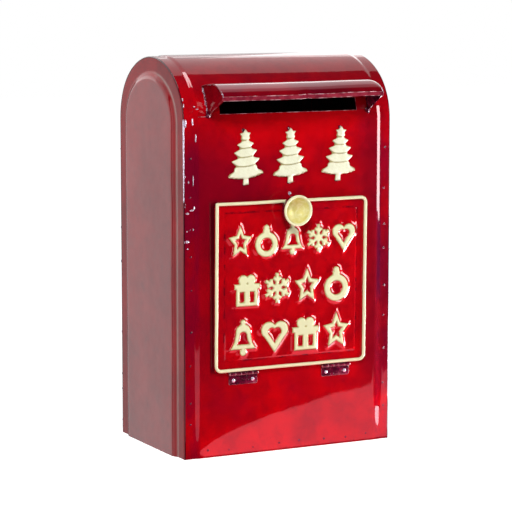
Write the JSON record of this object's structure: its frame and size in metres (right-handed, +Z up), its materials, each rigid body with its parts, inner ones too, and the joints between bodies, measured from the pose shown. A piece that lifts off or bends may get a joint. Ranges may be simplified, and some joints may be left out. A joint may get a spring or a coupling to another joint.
{
  "type": "tin money box",
  "caption": "Arched tin box in the form of a letter box, with a hooded slot, stamped trees and a drop-down front door on two butt hinges.",
  "frame": {"origin": "centre of the base, on the surface that the box stands on", "axes": "+Z up, front with slot and door towards -Y, +X to the right of someone facing the front"},
  "size_m": [0.2418, 0.1908, 0.4],
  "materials": {
    "red_lacquer": "candy red lacquer over tin, glossy, with darker mottling",
    "dark_lacquer": "the same lacquer pooled dark over solder and small fittings, glossy",
    "gold_paint": "pale champagne gold paint, satin",
    "knob_gold": "satin gold inside the dish, paler on the rim",
    "bare_steel": "plain zinc-plated",
    "magnet": "sintered ferrite, matt"
  },
  "bodies": {
    "case": {"wrap_shell": "red_lacquer", "left_end_panel": "red_lacquer", "right_end_panel": "red_lacquer", "base_pan": "dark_lacquer", "slot_hood": "red_lacquer", "left_hood_cheek": "red_lacquer", "right_hood_cheek": "red_lacquer", "hood_solder_dabs": "dark_lacquer", "tree_left": "gold_paint", "tree_middle": "gold_paint", "tree_right": "gold_paint", "tree_solder_dabs": "dark_lacquer", "left_hinge_case_leaf": "dark_lacquer", "right_hinge_case_leaf": "dark_lacquer", "case_hinge_rivets": "dark_lacquer", "left_hinge_pin": "bare_steel", "right_hinge_pin": "bare_steel", "catch_bracket": "bare_steel", "catch_magnet": "magnet", "catch_rivet": "dark_lacquer"},
    "door": {"door_panel": "red_lacquer", "door_wire_frame": "gold_paint", "knob_cup": "knob_gold", "knob_stud": "bare_steel", "knob_washer": "bare_steel", "knob_nut": "bare_steel", "left_hinge_door_leaf": "dark_lacquer", "right_hinge_door_leaf": "dark_lacquer"}
  },
  "joints": [
    {"name": "door_hinge", "type": "hinge", "parent": "case", "child": "door", "pos_m": [0, -0.0801, 0.0832], "axis": [1, 0, 0], "range_deg": [0, 110]}
  ]
}
